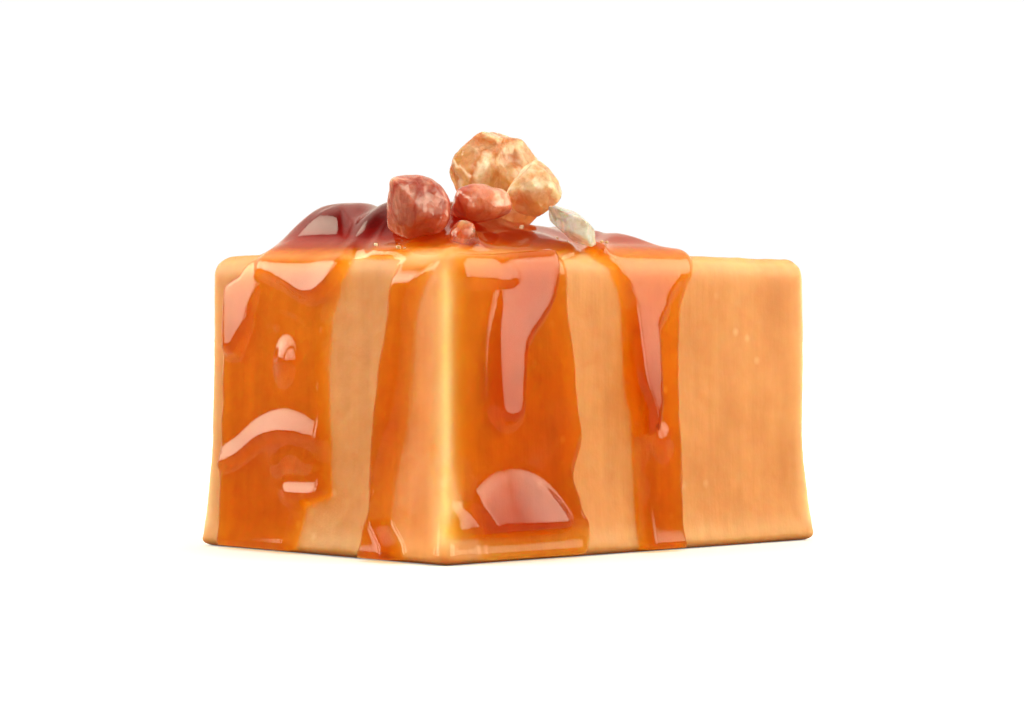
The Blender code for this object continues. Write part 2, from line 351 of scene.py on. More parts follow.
def mesh_object(name, points, faces, material, attributes=None):
    """A smooth mesh object from points in millimetres, with values per point as attributes."""
    mesh = bpy.data.meshes.new(name)
    mesh.from_pydata((points * MM).tolist(), [], faces if isinstance(faces, list) else faces.tolist())
    mesh.update()
    for attribute, values in (attributes or {}).items():
        layer = mesh.attributes.new(attribute, "FLOAT", "POINT")
        layer.data.foreach_set("value", np.asarray(values, np.float32))
    mesh.materials.append(material)
    mesh.shade_smooth()
    return link(bpy.data.objects.new(name, mesh))


# Where sauce lies


def insets(points):
    """How far in each point lies from the left, right, front and back side."""
    return np.stack(
        [
            points[:, 0] + HALF_LENGTH,
            HALF_LENGTH - points[:, 0],
            points[:, 1] + HALF_WIDTH,
            HALF_WIDTH - points[:, 1],
        ],
        axis=1,
    )


SIDES = ("left", "right", "front", "back")


def rounds(points):
    """How far round the block each point lies, read on each of the four sides."""
    from_left = points[:, 0] + HALF_LENGTH
    from_front = points[:, 1] + HALF_WIDTH
    return np.stack([-from_front, LENGTH + from_front, from_left, -WIDTH - from_left], axis=1)


def way_round(a, b):
    return (a - b + ROUND_TRIP / 2) % ROUND_TRIP - ROUND_TRIP / 2


def run_at(stations, height):
    """(middle, half width) of a run at each height, eased between its stations."""
    middle = np.full(len(height), stations[-1][1])
    half = np.full(len(height), stations[-1][2])
    for (z1, middle1, half1), (z0, middle0, half0) in reversed(list(zip(stations, stations[1:]))):
        part = ease((height - z0) / (z1 - z0))
        above = height >= z0
        middle = np.where(above, middle0 + (middle1 - middle0) * part, middle)
        half = np.where(above, half0 + (half1 - half0) * part, half)
    return middle, half


class Spots:
    """Points on the box and what the sauce asks about them, worked out once."""

    def __init__(self, points):
        self.points = points
        self.height = points[:, 2]
        self.on_top = points[:, 2] > HEIGHT - 1e-6
        self.insets = insets(points)
        self.rounds = rounds(points)
        self.side = np.argmin(self.insets, axis=1)
        self.along = self.rounds[np.arange(len(points)), self.side]
        self.wander = EDGE_WANDER * noise_at(points, 2.6, 5.0, 2)


def run_depth(spots, side, stations):
    """How far inside a run's outline each spot lies; negative outside."""
    if side == "corner":
        height, along = spots.height, spots.along
    else:
        index = SIDES.index(side)
        height = np.where(spots.on_top, HEIGHT + spots.insets[:, index], spots.height)
        along = np.where(spots.on_top, spots.rounds[:, index], spots.along)
    middle, half = run_at(stations, height)
    off = np.abs(way_round(along, middle))
    beyond = np.maximum(np.maximum(stations[-1][0] - height, height - stations[0][0]), 0.0)
    depth = half - np.hypot(off, beyond)
    if side == "corner":
        depth = np.where(spots.on_top | (spots.side % 2 == 1), -1.0, depth)
    return depth


def pool_depth(spots):
    depth = np.full(len(spots.points), -LENGTH)
    for x, y, radius in POOL:
        off = np.hypot(spots.insets[:, 0] - x, spots.insets[:, 2] - y)
        depth = soft_max(depth, radius - off, POOL_MELD)
    return depth - (HEIGHT - spots.height) / OVERHANG


def film(depth, height, rim):
    """The rise of a film from its edge to its full height."""
    part = np.clip(depth / rim, 0.0, 1.0)
    return height * part * (2 - part)


def flowing(path):
    """A path's points with more between them, along a smooth line through them all."""
    ends = [path[0], *path, path[-1]]
    out = []
    for p0, p1, p2, p3 in zip(ends, ends[1:], ends[2:], ends[3:]):
        for i in range(FOLD_PARTS):
            t = i / FOLD_PARTS
            weights = (
                0.5 * (-t + 2 * t * t - t**3),
                0.5 * (2 - 5 * t * t + 3 * t**3),
                0.5 * (t + 4 * t * t - 3 * t**3),
                0.5 * (-t * t + t**3),
            )
            out.append(tuple(sum(w * v for w, v in zip(weights, values)) for values in zip(p0, p1, p2, p3)))
    return out + [path[-1]]


def fold_height(spots, path, slope, crest, fall):
    """How far a fold, drawn on the unrolled sides, lifts the sauce at each spot."""
    top = max(z for _, z, _ in path)
    depth = np.full(len(spots.points), -9.0)
    across = np.zeros(len(spots.points))
    width = np.ones(len(spots.points))
    path = flowing(path)
    for (r0, z0, half0), (r1, z1, half1) in zip(path, path[1:]):
        dr, dz = r1 - r0, z1 - z0
        off_r, off_z = way_round(spots.along, r0), spots.height - z0
        part = np.clip((off_r * dr + off_z * dz) / (dr * dr + dz * dz), 0.0, 1.0)
        beside = np.array((off_r - part * dr, off_z - part * dz))
        half = half0 + (half1 - half0) * part
        inside = half - np.hypot(*beside)
        nearer = inside > depth
        depth = np.where(nearer, inside, depth)
        right = (beside[0] * dz - beside[1] * dr) / math.hypot(dr, dz) / half
        across = np.where(nearer, right, across)
        width = np.where(nearer, half, width)
    climb = np.clip(across + 1.0, 0.0, 1.0 + crest) * width * slope + fall * (top - spots.height)
    drop = 1 - ease((across - crest) / (1.05 - crest))
    return np.where(spots.on_top, 0.0, climb * drop * ease((depth + 0.02) / FOLD_RIM))


def bead_height(spots, middle, height, half_width, half_height, rise):
    off = np.hypot(way_round(spots.along, middle) / half_width, (spots.height - height) / half_height)
    return np.where(spots.on_top, 0.0, rise * (1 - np.minimum(off, 1.0) ** 2) ** 2)


def tongue_height(spots, slope, stations):
    middle, half = run_at(stations, spots.height)
    top, bottom = stations[0][0], stations[-1][0]
    inside = half - np.abs(way_round(spots.along, middle))
    beyond = np.maximum(spots.height - top, bottom - spots.height)
    shape = ease((inside + 0.02) / FOLD_RIM) * ease(-beyond / FOLD_RIM + 0.5)
    return np.where(spots.on_top, 0.0, slope * np.maximum(top - spots.height, 0.0) * shape)


def lens_height(spots):
    """The lens over the foot: it thickens downwards from its arched top to its flat bottom."""
    off = (spots.along - LENS_MIDDLE) / LENS_HALF
    arch = LENS_BOTTOM + (LENS_TOP - LENS_BOTTOM) * (1 - off * off)
    climb = LENS_SLOPE * np.maximum(0.5 * (arch + LENS_TOP) - spots.height, 0.0)
    inside = ease((arch - spots.height + 0.1) / 0.5) * ease((spots.height - LENS_BOTTOM + 0.2) / 0.3)
    inside = inside * ease((1 - np.abs(off)) / 0.2)
    return np.where(spots.on_top | (np.abs(off) > 1), 0.0, climb * inside)


def corner_share(spots):
    """The corner run's share of its thickness: next to nothing over the corner, full on either side."""
    heights, starts, ends = zip(*BARE_CORNER)
    start = np.interp(spots.height, heights, starts)
    end = np.interp(spots.height, heights, ends)
    left = ease((start - spots.along) / 0.7 + 0.6)
    right = 0.66 * ease((spots.along - end) / 0.5 + 0.4) + 0.34 * ease((spots.along - end) / 4.0)
    share = np.maximum(left, right)
    upper = np.where(spots.along < 0.3, ease((spots.height - 14.9) / 1.0), 0.0)
    foot = ease((1.9 - spots.height) / 0.5) * ease((spots.along - 0.5) / 1.0)
    return (0.04 + 0.96 * share * (1 - upper)) * (1 - 0.62 * foot)


def pool_share(spots):
    """The pool's share of its thickness: next to nothing along the left edge in front of the left run."""
    off_front = spots.insets[:, 2]
    beside = ease((off_front - 0.4) / 0.8) * (1 - ease((off_front - 5.6) / 3.0))
    share = 1 - 0.97 * beside * (1 - ease((spots.insets[:, 0] - 0.4) / 3.4))
    return share * (0.05 + 0.95 * ease((np.min(spots.insets, axis=1) - 0.1) / 2.2))


def wet_feet():
    """(x, y, radius) of the ring where the sauce wets each salt crystal."""
    for number in (1, SHARD, DROP):
        start, end = (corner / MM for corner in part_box(f"salt_crystal_{number}"))
        middle, size = (start + end) / 2, end - start
        yield middle.x, middle.y, 0.21 * (size.x + size.y)


def sauce_height(spots):
    """(depth inside the sauce's outline, height of the sauce above the block)."""
    pool = pool_depth(spots) + spots.wander
    share = pool_share(spots)
    depth = pool
    total = (film(pool, POOL_HEIGHT, POOL_RIM) * share) ** 3
    sag = 1 + SAG * (9.0 - np.minimum(spots.height, HEIGHT))
    for side, thickness, stations in RUNS:
        run = run_depth(spots, side, stations) + spots.wander
        height = film(run, thickness, RIM_WIDTH) * sag
        if side == "corner":
            height = height * corner_share(spots)
        depth = np.maximum(depth, run)
        total += height**3
    height = np.cbrt(total)
    inside = ease(np.minimum(depth, np.min(spots.insets, axis=1) + 0.5) / SWELL_RISE)
    for x, y, spread, rise in SWELLS:
        off = np.hypot(spots.insets[:, 0] - x, spots.insets[:, 2] - y)
        height += share * rise * inside * np.exp(-((off / spread) ** 4))
    settled = ease(depth / 0.4)
    for fold in FOLDS:
        height += settled * fold_height(spots, *fold)
    for slope, stations in TONGUES:
        height += settled * tongue_height(spots, slope, stations)
    for bead in BEADS:
        height += settled * bead_height(spots, *bead)
    height += settled * lens_height(spots)
    for x, y, radius in wet_feet():
        off = np.hypot(spots.points[:, 0] - x, spots.points[:, 1] - y) - radius
        height += np.where(spots.on_top, settled * MENISCUS * np.exp(-np.maximum(off, 0.0) / MENISCUS_REACH), 0.0)
    height += settled * 0.01 * noise_at(spots.points, 2.2, 9.0)
    return depth, np.maximum(height, 0.0)


def smoothed(values, quads, rounds_count):
    """Values per point, each averaged with its neighbours along the quads' edges."""
    ends = np.concatenate([quads[:, [i, (i + 1) % 4]] for i in range(4)])
    ends = np.concatenate([ends, ends[:, ::-1]])
    count = np.bincount(ends[:, 0], minlength=len(values))
    for _ in range(rounds_count):
        mean = np.bincount(ends[:, 0], weights=values[ends[:, 1]], minlength=len(values)) / count
        values = 0.5 * (values + mean)
    return values


# Materials


def new_material(name):
    material = bpy.data.materials.new(name)
    material.use_nodes = True
    nodes = material.node_tree.nodes
    return material, nodes, material.node_tree.links, nodes["Principled BSDF"]


def add(nodes, kind, **settings):
    node = nodes.new(kind)
    for key, value in settings.items():
        if key in node.inputs:
            node.inputs[key].default_value = value
        else:
            setattr(node, key, value)
    return node


def ramp(nodes, links, source, stops):
    node = nodes.new("ShaderNodeValToRGB")
    elements = node.color_ramp.elements
    while len(elements) < len(stops):
        elements.new(0.5)
    for element, (position, colour) in zip(elements, stops):
        element.position = position
        element.color = (*colour, 1.0) if len(colour) == 3 else colour
    links.new(source, node.inputs["Fac"])
    return node.outputs["Color"]


def mix_colour(nodes, links, factor, a, b, blend="MIX"):
    node = nodes.new("ShaderNodeMix")
    node.data_type = "RGBA"
    node.blend_type = blend
    for socket, value in (("Factor", factor), ("A", a), ("B", b)):
        slot = [s for s in node.inputs if s.name == socket and s.type in ("VALUE", "RGBA")]
        slot = slot[0] if socket == "Factor" else [s for s in slot if s.type == "RGBA"][0]
        if isinstance(value, bpy.types.NodeSocket):
            links.new(value, slot)
        elif socket == "Factor":
            slot.default_value = value
        else:
            slot.default_value = (*value, 1.0)
    return [s for s in node.outputs if s.type == "RGBA"][0]


def coordinates(nodes):
    return nodes.new("ShaderNodeTexCoord").outputs["Object"]


def caramel_material():
    material, nodes, links, shader = new_material("cut_caramel")
    where = coordinates(nodes)
    # The edge attribute carries a painted glow: pale yellow over the body colour along the rounded edges, painted light
    # standing in for light that shines through the caramel there.
    edge = add(nodes, "ShaderNodeAttribute", attribute_name="edge").outputs["Fac"]
    mottle = add(nodes, "ShaderNodeTexNoise", Scale=260.0, Detail=4.0, Roughness=0.6)
    links.new(where, mottle.inputs["Vector"])
    body = ramp(nodes, links, mottle.outputs["Fac"], ((0.3, (0.72, 0.27, 0.075)), (0.7, (0.82, 0.35, 0.115))))
    fibres = add(nodes, "ShaderNodeTexNoise", Scale=900.0, Detail=4.0, Roughness=0.6)
    stretch = nodes.new("ShaderNodeMapping")
    stretch.inputs["Scale"].default_value = (1.0, 1.0, 0.12)
    links.new(where, stretch.inputs["Vector"])
    links.new(stretch.outputs["Vector"], fibres.inputs["Vector"])
    streak = ramp(nodes, links, fibres.outputs["Fac"], ((0.3, (0.92, 0.90, 0.86)), (0.62, (1.0, 1.0, 1.0))))
    body = mix_colour(nodes, links, 1.0, body, streak, "MULTIPLY")
    # Painted glow: the edges are mixed towards pale yellow by the edge mask, as painted light rather than the caramel's
    # own colour.
    rim = mix_colour(nodes, links, edge, body, (1.0, 0.76, 0.42))
    specks = add(nodes, "ShaderNodeTexVoronoi", Scale=700.0)
    links.new(where, specks.inputs["Vector"])
    dots = ramp(nodes, links, specks.outputs["Distance"], ((0.04, (0.8, 0.8, 0.8)), (0.22, (0, 0, 0))))
    patches = add(nodes, "ShaderNodeTexNoise", Scale=180.0, Detail=2.0)
    links.new(where, patches.inputs["Vector"])
    sparse = ramp(nodes, links, patches.outputs["Fac"], ((0.56, (0, 0, 0)), (0.66, (0.7, 0.7, 0.7))))
    speck = mix_colour(nodes, links, 1.0, dots, sparse, "MULTIPLY")
    links.new(mix_colour(nodes, links, speck, rim, (0.90, 0.55, 0.28)), shader.inputs["Base Color"])
    shader.inputs["Subsurface Weight"].default_value = 1.0
    shader.inputs["Subsurface Radius"].default_value = (1.0, 0.40, 0.16)
    shader.inputs["Subsurface Scale"].default_value = 1.2 * MM
    shader.inputs["IOR"].default_value = 1.42
    rough = add(nodes, "ShaderNodeTexNoise", Scale=420.0, Detail=3.0)
    links.new(where, rough.inputs["Vector"])
    spread = add(nodes, "ShaderNodeMapRange")
    spread.inputs["To Min"].default_value, spread.inputs["To Max"].default_value = 0.38, 0.62
    links.new(rough.outputs["Fac"], spread.inputs["Value"])
    links.new(spread.outputs["Result"], shader.inputs["Roughness"])
    grain = add(nodes, "ShaderNodeTexNoise", Scale=1500.0, Detail=6.0, Roughness=0.65)
    links.new(where, grain.inputs["Vector"])
    both = add(nodes, "ShaderNodeMath", operation="MULTIPLY_ADD")
    links.new(fibres.outputs["Fac"], both.inputs[0])
    both.inputs[1].default_value = 1.6
    links.new(grain.outputs["Fac"], both.inputs[2])
    bump = add(nodes, "ShaderNodeBump", Strength=0.4, Distance=0.06 * MM)
    links.new(both.outputs["Value"], bump.inputs["Height"])
    links.new(bump.outputs["Normal"], shader.inputs["Normal"])
    return material


def clear_to_shadows(nodes, links, shader, mixed=1.0):
    """Lets light, or that share of it, fall straight through to what lies beneath."""
    mix = nodes.new("ShaderNodeMixShader")
    shade = nodes.new("ShaderNodeLightPath").outputs["Is Shadow Ray"]
    if mixed < 1.0:
        share = add(nodes, "ShaderNodeMath", operation="MULTIPLY")
        links.new(shade, share.inputs[0])
        share.inputs[1].default_value = mixed
        shade = share.outputs["Value"]
    links.new(shade, mix.inputs["Fac"])
    links.new(shader.outputs["BSDF"], mix.inputs[1])
    links.new(nodes.new("ShaderNodeBsdfTransparent").outputs["BSDF"], mix.inputs[2])
    links.new(mix.outputs["Shader"], nodes["Material Output"].inputs["Surface"])


def sauce_material():
    material, nodes, links, shader = new_material("clear_sauce")
    where = coordinates(nodes)
    shader.inputs["Base Color"].default_value = (1.0, 1.0, 1.0, 1.0)
    shader.inputs["Transmission Weight"].default_value = 1.0
    shader.inputs["IOR"].default_value = 1.46
    ripple = add(nodes, "ShaderNodeTexNoise", Scale=300.0, Detail=2.0)
    links.new(where, ripple.inputs["Vector"])
    spread = add(nodes, "ShaderNodeMapRange")
    spread.inputs["To Min"].default_value, spread.inputs["To Max"].default_value = 0.02, 0.09
    links.new(ripple.outputs["Fac"], spread.inputs["Value"])
    links.new(spread.outputs["Result"], shader.inputs["Roughness"])
    bump = add(nodes, "ShaderNodeBump", Strength=0.15, Distance=0.05 * MM)
    links.new(ripple.outputs["Fac"], bump.inputs["Height"])
    links.new(bump.outputs["Normal"], shader.inputs["Normal"])
    depth = add(nodes, "ShaderNodeVolumeAbsorption")
    depth.inputs["Color"].default_value = (0.943, 0.780, 0.01, 1.0)
    depth.inputs["Density"].default_value = 3000.0
    links.new(depth.outputs["Volume"], nodes["Material Output"].inputs["Volume"])
    clear_to_shadows(nodes, links, shader)
    return material


def salt_material(name, clear, milky, wet, through_most, coat, facets):
    """Rock salt: clear in places and milky in others, creased, fine-grained, and stained by sauce from below."""
    material, nodes, links, shader = new_material(name)
    where = coordinates(nodes)
    turn = nodes.new("ShaderNodeMapping")
    turn.inputs["Rotation"].default_value = (0.4, 0.9, 0.3)
    turn.inputs["Scale"].default_value = (1.0, 1.0, 0.4)
    links.new(where, turn.inputs["Vector"])
    clouds = add(nodes, "ShaderNodeTexNoise", Scale=420.0, Detail=4.0, Roughness=0.55, Distortion=0.8)
    links.new(turn.outputs["Vector"], clouds.inputs["Vector"])
    fine = add(nodes, "ShaderNodeTexNoise", Scale=2600.0, Detail=3.0, Roughness=0.7)
    links.new(where, fine.inputs["Vector"])
    warp = nodes.new("ShaderNodeVectorMath")
    warp.operation = "MULTIPLY_ADD"
    links.new(clouds.outputs["Color"], warp.inputs[0])
    warp.inputs[1].default_value = (0.004, 0.004, 0.004)
    links.new(where, warp.inputs[2])
    creases = add(nodes, "ShaderNodeTexVoronoi", Scale=330.0, feature="DISTANCE_TO_EDGE")
    links.new(warp.outputs["Vector"], creases.inputs["Vector"])
    crease = ramp(nodes, links, creases.outputs["Distance"], ((0.0, (0.9, 0.9, 0.9)), (0.16, (0, 0, 0))))
    cloud = ramp(nodes, links, clouds.outputs["Fac"], ((0.40, (0, 0, 0)), (0.56, (1, 1, 1))))
    body = mix_colour(nodes, links, cloud, clear, milky)
    body = mix_colour(nodes, links, crease, body, [c * c for c in clear])
    grains = ramp(nodes, links, fine.outputs["Fac"], ((0.36, (0.82, 0.74, 0.68)), (0.56, (1.0, 1.0, 1.0))))
    body = mix_colour(nodes, links, 1.0, body, grains, "MULTIPLY")
    stain = add(nodes, "ShaderNodeAttribute", attribute_name="stain").outputs["Fac"]
    links.new(mix_colour(nodes, links, stain, body, wet), shader.inputs["Base Color"])
    shader.inputs["IOR"].default_value = 1.54
    shader.inputs["Coat Weight"].default_value = coat
    shader.inputs["Coat Roughness"].default_value = 0.05
    shader.inputs["Subsurface Weight"].default_value = 0.85
    shader.inputs["Subsurface Radius"].default_value = (1.0, 0.55, 0.35)
    shader.inputs["Subsurface Scale"].default_value = 1.3 * MM
    through = add(nodes, "ShaderNodeMapRange")
    through.inputs["To Min"].default_value = through_most
    through.inputs["To Max"].default_value = 0.4 * through_most
    links.new(cloud, through.inputs["Value"])
    links.new(through.outputs["Result"], shader.inputs["Transmission Weight"])
    frost = add(nodes, "ShaderNodeMapRange")
    frost.inputs["To Min"].default_value, frost.inputs["To Max"].default_value = 0.10, 0.36
    links.new(clouds.outputs["Fac"], frost.inputs["Value"])
    links.new(frost.outputs["Result"], shader.inputs["Roughness"])
    bump = add(nodes, "ShaderNodeBump", Strength=0.3, Distance=0.04 * MM)
    links.new(fine.outputs["Fac"], bump.inputs["Height"])
    cells = add(nodes, "ShaderNodeTexVoronoi", Scale=facets)
    links.new(where, cells.inputs["Vector"])
    tilt = nodes.new("ShaderNodeVectorMath")
    tilt.operation = "MULTIPLY_ADD"
    links.new(cells.outputs["Color"], tilt.inputs[0])
    tilt.inputs[1].default_value = (FACET_TILT, FACET_TILT, FACET_TILT)
    tilt.inputs[2].default_value = (-FACET_TILT / 2, -FACET_TILT / 2, -FACET_TILT / 2)
    facing = nodes.new("ShaderNodeVectorMath")
    links.new(bump.outputs["Normal"], facing.inputs[0])
    links.new(tilt.outputs["Vector"], facing.inputs[1])
    length = nodes.new("ShaderNodeVectorMath")
    length.operation = "NORMALIZE"
    links.new(facing.outputs["Vector"], length.inputs[0])
    links.new(length.outputs["Vector"], shader.inputs["Normal"])
    clear_to_shadows(nodes, links, shader, mixed=0.55)
    return material


# Pieces


def build_block():
    xs = grid_lines(-HALF_LENGTH, HALF_LENGTH, BLOCK_STEP, (TOP_RADIUS, TOP_RADIUS))
    ys = grid_lines(-HALF_WIDTH, HALF_WIDTH, BLOCK_STEP, (TOP_RADIUS, TOP_RADIUS))
    zs = grid_lines(0.0, HEIGHT, BLOCK_STEP, (BASE_RADIUS, TOP_RADIUS))
    points, quads = box_shell(xs, ys, zs, with_base=True)
    place, outward = block_surface(points)
    # Mask of a painted glow: near one along the rounded edges and corners, weaker along the top edges and fading out at
    # the foot; it lights the edges pale yellow as painted light.
    sides = np.sort(insets(points), axis=1)
    off_flat = np.sort(
        np.stack([sides[:, 0], sides[:, 1], HEIGHT - points[:, 2], points[:, 2]], axis=1), axis=1
    )[:, 1]
    edge = np.exp(-((off_flat / 0.8) ** 1.6)) * (1 - 0.7 * ease((points[:, 2] - HEIGHT + 1.6) / 1.2))
    edge *= ease((points[:, 2] - 0.2) / 1.4)
    relief = 0.022 * noise_at(points, 0.9, 2.0, 3) + 0.03 * noise_at(points * (1.0, 1.0, 0.25), 1.4, 4.0, 2)
    place = place + outward * (relief * (points[:, 2] > 0.4))[:, None]
    block = mesh_object("block_skin", place, quads, caramel_material(), {"edge": edge})
    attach(block, "root")
    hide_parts("caramel_block")
    return block


def clip_faces(points, quads, depth):
    """The quads' triangles where depth is positive, cut along its zero line.

    Returns the rows of blends that make the new points, (from, to, share), and the faces.
    """
    triangles = np.concatenate([quads[:, [0, 1, 2]], quads[:, [0, 2, 3]]])
    inside = depth > 0
    count = inside[triangles].sum(axis=1)
    rows = {}
    blends = []

    def row(a, b):
        key = (a, b) if a < b else (b, a)
        if key not in rows:
            rows[key] = len(blends)
            share = 0.0 if a == b else depth[key[0]] / (depth[key[0]] - depth[key[1]])
            blends.append((key[0], key[1], share))
        return rows[key]

    faces = []
    for triangle in triangles[count == 3].tolist():
        faces.append([row(v, v) for v in triangle])
    for triangle in triangles[(count == 1) | (count == 2)].tolist():
        face = []
        for i in range(3):
            here, there = triangle[i], triangle[(i + 1) % 3]
            if inside[here]:
                face.append(row(here, here))
            if inside[here] != inside[there]:
                face.append(row(here, there))
        faces.append(face)
    return np.array(blends), faces


def build_sauce():
    xs = grid_lines(-HALF_LENGTH, HALF_LENGTH, SAUCE_STEP, (TOP_RADIUS, TOP_RADIUS))
    ys = grid_lines(-HALF_WIDTH, HALF_WIDTH, SAUCE_STEP, (TOP_RADIUS, TOP_RADIUS))
    zs = grid_lines(SAUCE_FLOOR, HEIGHT, SAUCE_STEP, (0.0, TOP_RADIUS))
    points, quads = box_shell(xs, ys, zs, with_base=False)
    spots = Spots(points)
    depth, height = sauce_height(spots)
    height = smoothed(height, quads, 3)
    height = np.minimum(height, 3.0 * np.maximum(depth, 0.0))
    depth = np.where(np.abs(depth) < 0.012, 0.012, depth)
    blends, faces = clip_faces(points, quads, depth)
    a, b, share = blends[:, 0].astype(int), blends[:, 1].astype(int), blends[:, 2]
    cut = a != b
    spot = points[a] + (points[b] - points[a]) * share[:, None]
    level = np.where(cut, 0.0, height[a])
    place, outward = block_surface(spot)
    outward[:, 2] = np.maximum(outward[:, 2], 0.0)
    outward /= np.linalg.norm(outward, axis=1)[:, None]
    skin = place + outward * level[:, None]
    under = place - outward * SUNK
    count = len(skin)
    edges = {}
    for face in faces:
        for one, other in zip(face, face[1:] + face[:1]):
            key = (min(one, other), max(one, other))
            edges[key] = None if key in edges else (one, other)
    closed = list(faces)
    closed += [[index + count for index in reversed(face)] for face in faces]
    closed += [[other, one, one + count, other + count] for one, other in filter(None, edges.values())]
    sauce = mesh_object("poured_sauce", np.concatenate([skin, under]), closed, sauce_material())
    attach(sauce, "root")
    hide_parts("caramel_sauce")
    return sauce


# Each crystal's looks: its clear part, its milky part, its foot where it is wet with sauce, how clear it is,
# its wet coat, how many times it is smoothed, how lumpy it is, and how many facets to a metre.
CRYSTAL_LOOKS = (
    ((0.68, 0.18, 0.11), (0.88, 0.46, 0.36), (0.64, 0.13, 0.04), 0.35, 0.35, 420, 0.14, 2600.0),
    ((0.84, 0.46, 0.15), (0.98, 0.76, 0.52), (0.80, 0.30, 0.07), 0.50, 0.20, 60, 0.20, 1300.0),
    ((0.90, 0.58, 0.30), (0.98, 0.82, 0.62), (0.86, 0.40, 0.12), 0.40, 0.15, 50, 0.20, 2200.0),
    ((0.90, 0.86, 0.84), (0.97, 0.96, 0.96), (0.90, 0.74, 0.62), 0.85, 0.5, 8, 0.12, 1400.0),
    ((0.74, 0.16, 0.045), (0.96, 0.44, 0.28), (0.66, 0.12, 0.02), 0.25, 1.0, 220, 0.16, 900.0),
    ((0.92, 0.34, 0.05), (0.96, 0.50, 0.20), (0.88, 0.26, 0.03), 0.90, 1.0, 70, 0.08, 600.0),
)


def worn_crystal(number, smoothings, lumpy):
    """(mesh, points) of a crystal: the frame's solid, worn round and pitted."""
    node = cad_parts[f"salt_crystal_{number}"]
    bm = bmesh.new()
    bm.from_mesh(node.data)
    bmesh.ops.remove_doubles(bm, verts=bm.verts, dist=1e-7)
    mesh = bpy.data.meshes.new(f"salt_{number}")
    bm.to_mesh(mesh)
    bm.free()
    crystal = link(bpy.data.objects.new(f"salt_grain_{number}", mesh))
    remesh = crystal.modifiers.new("even", "REMESH")
    remesh.mode = "VOXEL"
    remesh.voxel_size = 0.07 * MM
    smooth = crystal.modifiers.new("wear", "SMOOTH")
    smooth.factor = 0.5
    smooth.iterations = smoothings
    graph = bpy.context.evaluated_depsgraph_get()
    even = bpy.data.meshes.new_from_object(crystal.evaluated_get(graph))
    crystal.modifiers.clear()
    crystal.data = even
    count = len(even.vertices)
    co = np.empty(count * 3, np.float32)
    even.vertices.foreach_get("co", co)
    co = co.reshape(-1, 3).astype(float) / MM
    normal = np.empty(count * 3, np.float32)
    even.vertex_normals.foreach_get("vector", normal)
    normal = normal.reshape(-1, 3)
    worn = lumpy * noise_at(co, 1.7, 10.0 + number, 2) + 0.16 * lumpy * noise_at(co, 0.42, 30.0 + number, 3)
    co += normal * worn[:, None]
    return crystal, co


def lean(co):
    """Lays the clear shard over to the camera's right."""
    middle = co.mean(axis=0)
    right = direction(CAMERA_AZIMUTH + 90.0, 0.0)
    across = (co - middle) @ np.array(right)
    co[:, 2] = middle[2] + 0.62 * (co[:, 2] - middle[2]) - 0.42 * across - 0.15
    co[:, :2] -= 0.7 * np.array(right[:2])


def build_crystals():
    for number, looks in enumerate(CRYSTAL_LOOKS, 1):
        clear, milky, wet, through, coat, smoothings, lumpy, facets = looks
        crystal, co = worn_crystal(number, smoothings, lumpy)
        if number == 1:
            co = co.mean(axis=0) + (co - co.mean(axis=0)) * 1.16 + 0.4 * np.array(direction(CAMERA_AZIMUTH + 90.0, 0.0))
        if number == 5:
            co[:, 2] = co[:, 2].min() + 0.84 * (co[:, 2] - co[:, 2].min())
        if number == SHARD:
            lean(co)
        if number == DROP:
            co = co.mean(axis=0) + (co - co.mean(axis=0)) * 0.85 - (0.0, 0.0, 0.55)
        even = crystal.data
        even.vertices.foreach_set("co", (co * MM).astype(np.float32).ravel())
        even.materials.clear()
        even.materials.append(salt_material(f"salt_look_{number}", clear, milky, wet, through, coat, facets))
        low_z, high_z = co[:, 2].min(), co[:, 2].max()
        stain = 0.9 * (1 - ease((co[:, 2] - low_z) / (0.6 * (high_z - low_z))))
        layer = even.attributes.new("stain", "FLOAT", "POINT")
        layer.data.foreach_set("value", stain.astype(np.float32))
        even.shade_smooth()
        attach(crystal, "root")
        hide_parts(f"salt_crystal_{number}")


# Loose grains: near which crystal, how many, and how large (mm).
CRUMBS = ((1, 5, 0.26), (2, 4, 0.24), (3, 4, 0.26), (4, 4, 0.30))


def build_crumbs():
    """Grains of salt on the sauce round the crystals' feet, as one piece."""
    chance = random.Random(5)
    spots = []
    for number, count, size in CRUMBS:
        start, end = (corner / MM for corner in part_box(f"salt_crystal_{number}"))
        middle, reach = (start + end) / 2, 0.25 * (end.x - start.x + end.y - start.y)
        for _ in range(count):
            angle, far = chance.uniform(0, math.tau), reach * chance.uniform(0.75, 1.05)
            place = (middle.x + far * math.cos(angle), middle.y + far * math.sin(angle))
            spots.append((*place, HEIGHT, size * chance.uniform(0.45, 1.2)))
    spots = np.array(spots)
    depth, height = sauce_height(Spots(spots[:, :3]))
    bm = bmesh.new()
    for (x, y, _, size), inside, above in zip(spots.tolist(), depth.tolist(), height.tolist()):
        if inside < 0.5:
            continue
        made = bmesh.ops.create_icosphere(bm, subdivisions=2, radius=0.5)["verts"]
        shift = Vector((x, y, size))
        stretch = Vector([chance.uniform(0.7, 1.25) for _ in range(3)]) * size * MM
        centre = Vector((x, y, HEIGHT + above)) * MM
        for vert in made:
            facet = vert.co.normalized() * (0.5 + 0.16 * noise.noise(vert.co * 2.2 + shift))
            facet = Vector([max(-0.42, min(0.42, value)) for value in facet])
            vert.co = centre + Vector([a * b for a, b in zip(facet, stretch)])
    mesh = bpy.data.meshes.new("salt_crumbs")
    bm.to_mesh(mesh)
    bm.free()
    layer = mesh.attributes.new("stain", "FLOAT", "POINT")
    layer.data.foreach_set("value", np.full(len(mesh.vertices), 0.25, np.float32))
    look = ((0.90, 0.62, 0.40), (0.98, 0.86, 0.74), (0.88, 0.46, 0.18), 0.6, 0.6, 3000.0)
    mesh.materials.append(salt_material("salt_look_crumbs", *look))
    crumbs = link(bpy.data.objects.new("salt_crumbs", mesh))
    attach(crumbs, "root")


# Studio


